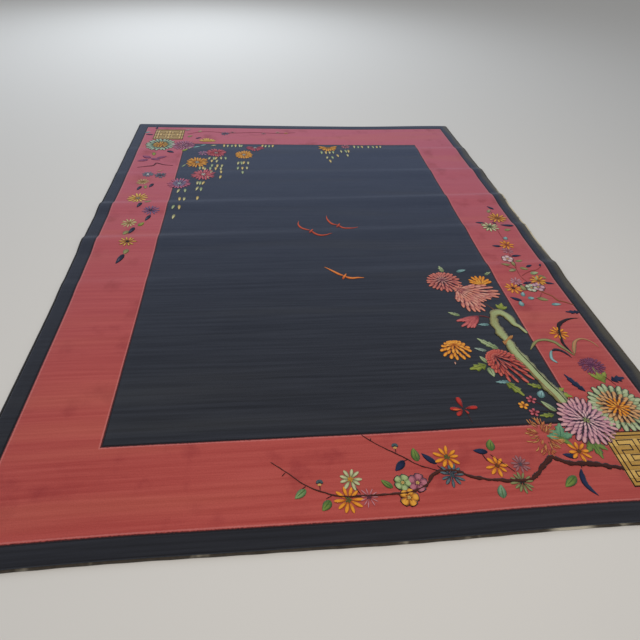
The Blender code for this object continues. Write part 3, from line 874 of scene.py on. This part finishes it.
def far_corner(material):
    """The far left corner: two chrysanthemums, leaves, twigs and the faint sprig along the far border."""
    heap = Heap()
    shadow = ("#7a3a5c", "#8f4a6c")
    for row in ((-1.25, 1.585, 175, .060, .022, NAVY_LEAF), (-.85, 1.52, 30, .050, .022, NAVY_LEAF),
                (-1.038, 1.24, -30, .064, .034, NAVY_LEAF), (-1.27, 1.63, 20, .045, .026, TEAL),
                (-1.21, 1.725, 80, .034, .024, NAVY_LEAF), (-.92, 1.555, 45, .050, .028, ROSE_OLIVE),
                (-.95, 1.69, 20, .050, .024, ("#8a7a70", "#a09088")), (-.85, 1.665, 10, .034, .020, CREAM),
                (-.85, 1.34, 25, .062, .026, TEAL), (-.93, 1.275, 50, .060, .032, OLIVE),
                (-1.157, 1.20, -80, .056, .030, OLIVE), (-.905, 1.315, 30, .05, .028, PALE),
                (-1.22, 1.09, 200, .080, .040, shadow), (-1.13, 1.106, -20, .080, .036, shadow),
                (-1.20, 1.15, 150, .080, .040, shadow), (-1.09, 1.14, 30, .080, .036, shadow),
                (-.91, 1.00, 60, .05, .014, PALE)):
        leaf(heap, *row)
    bough(heap, [(-1.24, .965), (-1.18, .985), (-1.13, 1.0), (-1.115, 1.04), (-1.09, 1.03), (-1.05, 1.01),
                 (-.985, 1.0)],
          (.004, .008, .011, .012, .010, .007, .003), "#4a1424", "#5c1c2c")
    bough(heap, [(-.95, 1.60), (-.80, 1.66), (-.60, 1.635), (-.40, 1.655), (-.20, 1.64), (-.05, 1.66)],
          (.003, .003, .003), "#7d3a40")
    bloom(heap, (-1.133, 1.380), .117,
          [(.50, 1.0, 22, .024, "#5c7468", "#b4c4a8"), (.40, .80, 18, .020, "#4c6458", "#9cb094"),
           (.16, .52, 14, .018, "#6a4a24", "#d0a050"), (.0, .30, 8, .013, "#9a5a1c", "#e0a040")], seed=71)
    bloom(heap, (-.956, 1.370), .093,
          [(.50, 1.0, 22, .015, "#7a3a58", "#c4809a"), (.30, .76, 17, .013, "#6a3450", "#b8708c"),
           (.0, .46, 10, .011, "#5c2c48", "#c48a9c")], seed=72, outline=.0018, ink="#4a1830")
    bloom(heap, (-.777, 1.448), .070, [(.3, 1.0, 8, .020, "#b08a3c", "#dcb45c"),
                                       (.0, .6, 6, .018, "#a87c34", "#d0a04c")],
          span=(15, 165), seed=73, outline=.0014, ink="#5c3a18")
    for u, v, r, dyes, seed in ((-.64, 1.62, .036, ("#4a4a60", "#6c6c80"), 74),
                                (-.58, 1.65, .028, ("#a8606c", "#b8747c"), 75),
                                (-.32, 1.63, .024, ("#a06068", "#b8808a"), 76),
                                (-.20, 1.66, .022, ("#b08078", "#c89a90"), 77),
                                (-.13, 1.645, .018, ("#b07a4a", "#c89458"), 78)):
        daisy(heap, u, v, r, dyes, 8, "#4a3a44", seed=seed)
    return heap.mesh("far_corner_spray", material)


def left_blossoms(material):
    """Open flowers and dark hanging buds down the left border."""
    heap = Heap()
    for row in ((-1.13, .66, -80, .050, .026, ROSE_OLIVE), (-1.075, .45, 40, .050, .028, ROSE_OLIVE),
                (-1.07, .175, 60, .050, .032, OLIVE), (-1.144, .08, -110, .050, .032, ROSE_OLIVE),
                (-1.105, -.12, -100, .050, .032, ROSE_OLIVE), (-1.07, .91, 30, .05, .02,
                                                               ("#b06a5a", "#c48a78"))):
        leaf(heap, *row)
    for u, v, length, width in ((-1.169, .645, .064, .026), (-1.096, .683, .064, .026),
                                (-1.122, .400, .064, .026),
                                (-1.046, .250, .074, .026), (-1.115, .105, .074, .028),
                                (-1.124, -.190, .094, .032)):
        leaf(heap, u, v, -104, length, width, ("#15182c", "#232a44"), "drop")
        leaf(heap, u, v, -104, length * .6, width * .28, ("#6a5068", "#8a6a80"), "ray", bend=.0)
    daisy(heap, -1.143, .849, .044, ("#4a5a6c", "#74808c"), 11, "#dfe0dc", seed=81)
    daisy(heap, -1.055, .834, .044, ("#3f4a5c", "#5c6c78"), 11, "#1c2830", seed=82)
    daisy(heap, -1.159, .737, .044, ("#a08a50", "#cdc080"), 12, "#7a6a3c", seed=83, width=.008)
    daisy(heap, -1.149, .504, .070, ("#c08a30", "#e8c060"), 13, "#8a7a68", seed=84, width=.014, outline=.001)
    daisy(heap, -1.040, .340, .054, ("#4a3a64", "#7c6a90"), 13, "#2a2440", seed=85, width=.010)
    daisy(heap, -1.143, .190, .048, ("#a09a58", "#d4cc90"), 12, "#8a6a3c", seed=86, width=.009)
    daisy(heap, -1.110, -.027, .049, ("#a06a2c", "#dcb050"), 10, "#2a1c1c", seed=87, width=.012, outline=.001)
    return heap.mesh("left_border_blossoms", material)


def hanging_blooms(material):
    """Chrysanthemums hanging into the field, each with rows of pale drops beneath."""
    heap = Heap()
    ashen = "#b4b8b0"
    for u, v, r, outer, inner, eye, seed in (
            (-.820, 1.058, .088, GOLD, ("#a0601c", "#dc9a38"), "#8a9488", 91),
            (-.690, 1.228, .076, ROSE_RED, ("#8c3038", "#b85058"), "#9a5a60", 92),
            (-.757, .851, .088, ROSE_RED, ("#a03a44", "#d07078"), "#d8c8b8", 93),
            (-.910, .715, .080, ("#8a3a56", "#c06a84"), ("#5c4a68", "#8a7c98"), "#a8bcc4", 94),
            (-.475, 1.196, .074, GOLD, ("#a8641c", "#e0a03c"), "#8a9080", 95),
            (-.390, 1.333, .072, ("#8c3040", "#b85060"), ("#7c2c3c", "#a8505c"), "#9a8a90", 96),
            (.200, 1.345, .080, GOLD, ("#a8641c", "#e0a03c"), "#8a6a30", 97)):
        span = (0, 360) if v < 1.3 else (160, 380)
        bloom(heap, (u, v), r, [(.30, 1.0, 20 if v < 1.3 else 13, .016, *outer),
                                (.10, .70, 14 if v < 1.3 else 9, .014, *inner)],
              span=span, seed=seed, form="ray", outline=.0012, ink="#2a1a20", ragged=.16)
        bloom(heap, (u, v), r * .20, [(.0, 1.0, 6, .008, eye, ashen if eye != "#8a6a30" else eye)],
              form="spoon",
              outline=0, seed=seed)
    daisy(heap, -.790, 1.220, .042, ("#7a4a68", "#a87a98"), 8, "#9a8a90", seed=98)
    daisy(heap, .345, 1.365, .040, ("#8c4a58", "#b87a80"), 8, "#6a3a44", seed=99)
    beads = [(-.79, .72), (-.768, .72), (-.742, .72), (-.78, .64), (-.755, .625), (-.77, .50),
             (-.898, .605), (-.865, .605),
             (-.886, .49), (-.857, .49), (-.903, .375), (-.871, .375), (-.888, .26), (-.79, .96),
             (-.765, .96), (-.75, .945),
             (.135, 1.25), (.17, 1.25), (.20, 1.25), (.23, 1.25), (.26, 1.19), (.18, 1.155), (.215, 1.155),
             (.19, 1.09),
             (.30, 1.27), (.33, 1.27), (.36, 1.27), (.34, 1.20), (-.72, .81), (-.63, .81)]
    for v, start, end, count in ((1.13, -.735, -.62, 5), (1.08, -.715, -.675, 2), (1.0, -.71, -.63, 3),
                                 (.95, -.72, -.64, 3),
                                 (.89, -.70, -.64, 2), (1.05, -.515, -.445, 4), (.96, -.51, -.45, 3),
                                 (.89, -.48, -.48, 1),
                                 (1.37, -.635, -.49, 6), (1.37, -.325, -.25, 4), (1.365, .42, .48, 3),
                                 (1.365, .54, .64, 4)):
        beads += [(u, v) for u in np.linspace(start, end, count)]
    beads = np.array(beads)
    luck = np.random.default_rng(77)
    beads = beads + luck.uniform(-.004, .004, beads.shape)
    heading = np.radians(-92 + luck.uniform(-9, 9, len(beads)))
    for k, (side, core) in enumerate((("#8c8a5c", "#d6cf9c"), ("#7c8a64", "#b4bf92"),
                                      ("#a8904c", "#e0c888"))):
        pick = slice(k, None, 3)
        size = luck.uniform(.050, .062, len(beads))[pick]
        outlined(heap, beads[pick, 0], beads[pick, 1] + size / 2, heading[pick], size, .020, .0015,
                 "#10141c", form="drop",
                 side=side, core=core, bend=.05)
    leaf(heap, -.80, 1.375, 25, .05, .022, TEAL)
    leaf(heap, -.72, 1.372, 10, .045, .020, CREAM)
    return heap.mesh("hanging_blooms", material)


def birds(material):
    """Three small birds in flight: a slim body and two long curved wings each."""
    heap = Heap()
    for body, left, right, dyes in (
            ((-.044, .078), [(-.044, .078), (-.085, .102), (-.107, .125), (-.118, .16), (-.111, .198)],
             [(-.044, .078), (-.022, .043), (.008, .024), (.044, .027), (.086, .047)],
             ("#8c2c1c", "#c85434")),
            ((.133, .146), [(.133, .146), (.097, .16), (.078, .195), (.07, .23), (.072, .262)],
             [(.133, .146), (.16, .112), (.19, .106), (.228, .108), (.259, .12)], ("#8c2c1c", "#c85434")),
            ((.10, -.39), [(.10, -.39), (.072, -.372), (.05, -.35), (.024, -.322), (-.002, -.298)],
             [(.10, -.39), (.12, -.405), (.145, -.410), (.178, -.407), (.212, -.41)],
             ("#b04a1c", "#e88a3c"))):
        for wing in (left, right):
            bough(heap, wing, (.010, .019, .016, .010, .003), *dyes, rough=.05)
        shapes(heap, body[0] - .012, body[1] - .030, np.radians(62), .056, .016, .05, "leaf", *dyes, .0016,
               .0022)
    return heap.mesh("birds", material)


# ---------------------------------------------------------------- the rug itself
def marks(half, lines, step):
    """Grid places from -half to half about every step metres, closer at the border lines and the edge."""
    edge = half - np.array([0, .0006, .0018, .0034, .0050])
    near = np.concatenate([line + np.array([-.006, -.003, 0, .003, .006]) for line in lines])
    fixed = np.concatenate([edge, near, -edge, -near])
    rest = np.linspace(-half, half, int(2 * half / step))
    rest = rest[np.min(np.abs(rest[:, None] - fixed), 1) > step * 0.35]
    return np.sort(np.concatenate([fixed, rest]))


def groove(u, v):
    """Depth of the carved lines beside the borders: 1.6 mm deep and 6 mm wide at most."""
    depth = np.zeros_like(u)
    for half_u, half_v in ((GUARD_U, GUARD_V), (FIELD_U, FIELD_V)):
        d = np.maximum(np.abs(u) - half_u, np.abs(v) - half_v)
        depth = np.maximum(depth, 0.0016 * wave(d, 0.0058))
    return depth


def rug(pile, back):
    """The knotted body: a closed slab with its top at the pile, its edges rounded and its back flat."""
    us, vs = marks(HALF_WIDTH, (FIELD_U, GUARD_U), .026), marks(HALF_LENGTH, (FIELD_V, GUARD_V), .0115)
    u, v = np.meshgrid(us, vs)
    inset = np.minimum(HALF_WIDTH - np.abs(u), HALF_LENGTH - np.abs(v))
    soft = 0.005
    round_off = soft - np.sqrt(np.maximum(soft ** 2 - np.maximum(soft - inset, 0) ** 2, 0))
    top = lie(u, v, THICKNESS + nap(u, v) * np.minimum(inset / .05, 1) - round_off - groove(u, v)) + SHIFT
    under = lie(u, v, 0.0) + SHIFT
    rows, columns = u.shape
    number = np.arange(rows * columns).reshape(rows, columns)
    a, b = number[:-1, :-1].ravel(), number[:-1, 1:].ravel()
    c, d = number[1:, 1:].ravel(), number[1:, :-1].ravel()
    below = rows * columns
    faces = [np.stack([a, b, c, d], -1), np.stack([a, d, c, b], -1) + below]
    rim = np.concatenate([number[0, :], number[1:, -1], number[-1, -2::-1], number[-2:0:-1, 0]])
    after = np.roll(rim, -1)
    faces.append(np.stack([rim, rim + below, after + below, after], -1))
    slots = np.concatenate([np.full(len(f), s) for f, s in zip(faces, (0, 1, 0))])
    flat = np.stack([u.ravel(), v.ravel()], -1)
    return solid("rug_pile", np.concatenate([top.reshape(-1, 3), under.reshape(-1, 3)]),
                 np.concatenate(faces).tolist(), [pile, back], uv=np.concatenate([flat, flat]), slots=slots)


def tube(name, centre, turn, ring, material, **looks):
    """A closed tube: ring (stations, around) of offsets outwards and up from the centre line."""
    outwards, up = ring
    places = centre[:, None] + turn[:, None] * outwards[..., None]
    places = places + np.array([0, 0, 1.0]) * up[..., None]
    s, r = outwards.shape
    number = np.arange(s * r).reshape(s, r)
    nxt = np.roll(number, -1, 1)
    faces = np.stack([number[:-1], nxt[:-1], nxt[1:], number[1:]], -1).reshape(-1, 4).tolist()
    faces += [number[0, ::-1].tolist(), number[-1].tolist()]
    return solid(name, places.reshape(-1, 3) + SHIFT, faces, [material], **looks)


def side_cord(name, side, material):
    """The overcast edge: yarn wound round the outer warps, a turn every 6 mm. The radius swells by a
    sine of the winding."""
    pitch, around = 0.006, 10
    v = np.arange(-HALF_LENGTH, HALF_LENGTH + .0001, pitch / 4)
    angle = np.arange(around) / around * 2 * np.pi
    turn = v[:, None] / pitch * 2 * np.pi + angle[None]
    loose = 1 + 0.03 * np.sin(v * 61)[:, None]
    radius = (CORD_DIAMETER / 2 - 0.0001) * (0.90 + 0.10 * np.abs(np.sin(turn / 2))) * loose
    inner = (np.abs(v) > HALF_LENGTH - 0.004)[:, None] * 0.25
    radius = radius * (1 - inner)
    centre = lie(side * HALF_WIDTH, v, THICKNESS / 2)
    centre[:, 0] += side * CORD_OFFSET
    out = np.tile([side, 0, 0], (len(v), 1)).astype(float)
    ring = (radius * np.cos(angle), -side * radius * np.sin(angle))
    flat = np.stack([np.repeat(v, around), np.tile(angle, len(v))], -1)
    return tube(name, centre, out, ring, material, uv=flat)


def end_web(name, end, material):
    """The flat strip of plain weave past the last knots: a ridge every 4 mm along it."""
    u = np.arange(-HALF_WIDTH, HALF_WIDTH + .0001, .002)
    across = np.array([0, .15, .40, .65, .88, 1.0, .85, .15])
    upper = np.array([.8, 1, .92, 1, .85, .5, 0, 0]) * WEB_THICKNESS
    weave = 0.0003 * np.sin(u * np.pi / .002)[:, None] * np.cos(across * 9)[None] * (upper > .0005)
    centre = lie(u, end * HALF_LENGTH, 0.0)
    out = np.tile([0, end, 0], (len(u), 1)).astype(float)
    tuck = -0.0006
    outwards = np.broadcast_to(tuck + across * (WEB_WIDTH + GAP - tuck),
                               (len(u), 8)) + 0.0004 * np.sin(u * 47)[:, None] * across
    up = np.broadcast_to(upper, (len(u), 8)) + weave
    if end > 0:
        outwards, up = outwards[:, ::-1], up[:, ::-1]
    flat = np.stack([np.repeat(u, 8), np.tile(across, len(u))], -1)
    return tube(name, centre, out, (outwards, up), material, uv=flat)


def cord_wool(name):
    """Overcast yarn: near black navy, faded and rubbed to the pale warps on part of the right edge."""
    made, tree, main = wool(name, 0.2)
    places = node(tree, "ShaderNodeTexCoord").outputs["Object"]
    flat = node(tree, "ShaderNodeUVMap", uv_map="flat").outputs[0]
    axes = node(tree, "ShaderNodeSeparateXYZ", [(0, places)])
    v = axes.outputs[1]
    turn = maths(tree, "SINE", maths(tree, "ADD", maths(tree, "MULTIPLY", v, 1047.0),
                                     node(tree, "ShaderNodeSeparateXYZ", [(0, flat)]).outputs[1]))
    colour = blend(tree, noise(tree, places, 260.0), linear("#17161a"), linear("#3a3834"))
    right = maths(tree, "GREATER_THAN", axes.outputs[0], 0.0)
    dusty = blend(tree, noise(tree, places, 40.0), linear("#4a4438"), linear("#6a604c"))
    colour = blend(tree, maths(tree, "MULTIPLY", right, 0.8), colour, dusty)
    worn = maths(tree, "MULTIPLY", ramp(tree, v, -.30, -.05), ramp(tree, v, .75, .45))
    worn = maths(tree, "MULTIPLY", maths(tree, "MULTIPLY", worn, right),
                 ramp(tree, noise(tree, places, 12.0), .30, .48))
    colour = blend(tree, worn, colour, linear("#cdbf9f"))
    # painted shade between the turns of the winding: darker once a turn
    colour = blend(tree, ramp(tree, turn, .5, 1.0, 0.0, 0.5), colour, linear("#0c0a0b"))
    tree.links.new(colour, main.inputs["Base Color"])
    tufted(tree, main, places, 0.25)
    return made


def web_cotton(name):
    """Plain-weave cotton, greyed with age, with pale worn places."""
    made, tree, main = wool(name, 0.0, 0.9)
    places = node(tree, "ShaderNodeTexCoord").outputs["Object"]
    axes = node(tree, "ShaderNodeSeparateXYZ", [(0, places)])
    u, v = axes.outputs[0], axes.outputs[1]
    warps = maths(tree, "SINE", maths(tree, "MULTIPLY", u, 1571.0))
    colour = blend(tree, noise(tree, places, 60.0), linear("#2b2622"), linear("#5a5248"))
    far = maths(tree, "GREATER_THAN", v, 0.0)
    bare_far = maths(tree, "MULTIPLY", ramp(tree, u, -.72, -.67), ramp(tree, u, -.42, -.56))
    bare_near = maths(tree, "MULTIPLY", ramp(tree, u, .60, .66), ramp(tree, u, .80, .74))
    bare = blend(tree, far, bare_near, bare_far)
    rubbed = ramp(tree, noise(tree, places, 7.0), .56, .66, 0.0, 0.45)
    colour = blend(tree, maths(tree, "MAXIMUM", bare, rubbed), colour, linear("#c9c0ac"))
    colour = blend(tree, ramp(tree, warps, .2, 1.0, 0.0, 0.35), colour, linear("#1c1815"))
    tree.links.new(colour, main.inputs["Base Color"])
    bump = node(tree, "ShaderNodeBump", [("Height", warps), ("Strength", 0.4), ("Distance", 0.0008)])
    tree.links.new(bump.outputs[0], main.inputs["Normal"])
    return made


# ---------------------------------------------------------------- put together
pile_wool = ground_wool("knotted_wool_ground")
back_wool = ground_wool("woven_back", True)
dyed_wool = motif_wool("knotted_wool_motifs")
body = rug(pile_wool, back_wool)
patterns = [chrysanthemum_spray(dyed_wool), tree(dyed_wool), blossoming_branch(dyed_wool),
            iris_blades(dyed_wool),
            right_sprig(dyed_wool), far_corner(dyed_wool), left_blossoms(dyed_wool),
            hanging_blooms(dyed_wool),
            birds(dyed_wool), fret("fret_near_right", (1.120, -1.578), (.240, .236), dyed_wool),
            fret("fret_far_left", (-1.093, 1.590), (.236, .206), dyed_wool, ("#b99a62", "#d8b880"),
                 "#4a2a1c")]
cord_yarn, cotton = cord_wool("overcast_wool_yarn"), web_cotton("cotton_plain_weave")
cords = [side_cord("overcast_left", -1, cord_yarn), side_cord("overcast_right", 1, cord_yarn)]
webs = [end_web("web_near", -1, cotton), end_web("web_far", 1, cotton)]

for thing in [body, *patterns, *cords, *webs]:
    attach(thing, "root")
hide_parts("rug_body")
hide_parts("side_cord_left")
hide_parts("side_cord_right")
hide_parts("end_web_near")
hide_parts("end_web_far")

# ---------------------------------------------------------------- floor, light and camera
floor_mesh = bpy.data.meshes.new("floor")
floor_mesh.from_pydata([(-40, -40, -.0005), (40, -40, -.0005), (40, 40, -.0005), (-40, 40, -.0005)], [],
                       [(0, 1, 2, 3)])
floor = bpy.data.objects.new("floor", floor_mesh)
plain = bpy.data.materials.new("plain_floor")
plain.use_nodes = True
plain.node_tree.nodes["Principled BSDF"].inputs["Base Color"].default_value = linear("#d2cec8")
plain.node_tree.nodes["Principled BSDF"].inputs["Roughness"].default_value = 0.8
floor_mesh.materials.append(plain)
bpy.context.scene.collection.objects.link(floor)


def soft_light(name, place, aim, size, power, colour):
    """A round area light of a diameter and power, at place, turned to aim."""
    lamp = bpy.data.lights.new(name, "AREA")
    lamp.shape, lamp.size, lamp.energy, lamp.color = "DISK", size, power, colour
    held = bpy.data.objects.new(name, lamp)
    held.location = place
    held.rotation_mode = "QUATERNION"
    held.rotation_quaternion = (Vector(aim) - Vector(place)).to_track_quat("-Z", "Y")
    bpy.context.scene.collection.objects.link(held)


soft_light("sky_from_the_far_end", (-1.5, 6.0, 4.0), (0, .4, 0), 4.0, 230, (0.80, 0.89, 1.0))
soft_light("lamp_over_the_near_end", (0.2, -1.8, 3.6), (0, -.6, 0), 2.6, 62, (1.0, 0.93, 0.84))
world = bpy.data.worlds.new("room")
world.use_nodes = True
world.node_tree.nodes["Background"].inputs[0].default_value = (0.93, 0.96, 1.0, 1.0)
world.node_tree.nodes["Background"].inputs[1].default_value = 0.42
bpy.context.scene.world = world
bpy.context.scene.view_settings.view_transform = "Standard"

EYE = (-0.310, -2.480, 1.582 + THICKNESS)           # from the rug's middle, at standing height
yaw, pitch, roll = np.radians((7.96, 41.98, 3.68))  # to the right, down, and tilted
ahead = Vector((np.sin(yaw) * np.cos(pitch), np.cos(yaw) * np.cos(pitch), -np.sin(pitch)))
level = Vector((np.cos(yaw), -np.sin(yaw), 0.0))
above = level.cross(ahead)
right = np.cos(roll) * level + np.sin(roll) * above
up = -np.sin(roll) * level + np.cos(roll) * above
lens = bpy.data.cameras.new("camera")
lens.sensor_width, lens.lens, lens.clip_end = 36.0, 27.095625, 200.0
camera = bpy.data.objects.new("camera", lens)
camera.matrix_world = Matrix.Translation(Vector(EYE) + Vector(SHIFT)) @ Matrix(
    (right, up, -ahead)).transposed().to_4x4()
bpy.context.scene.collection.objects.link(camera)
bpy.context.scene.camera = camera
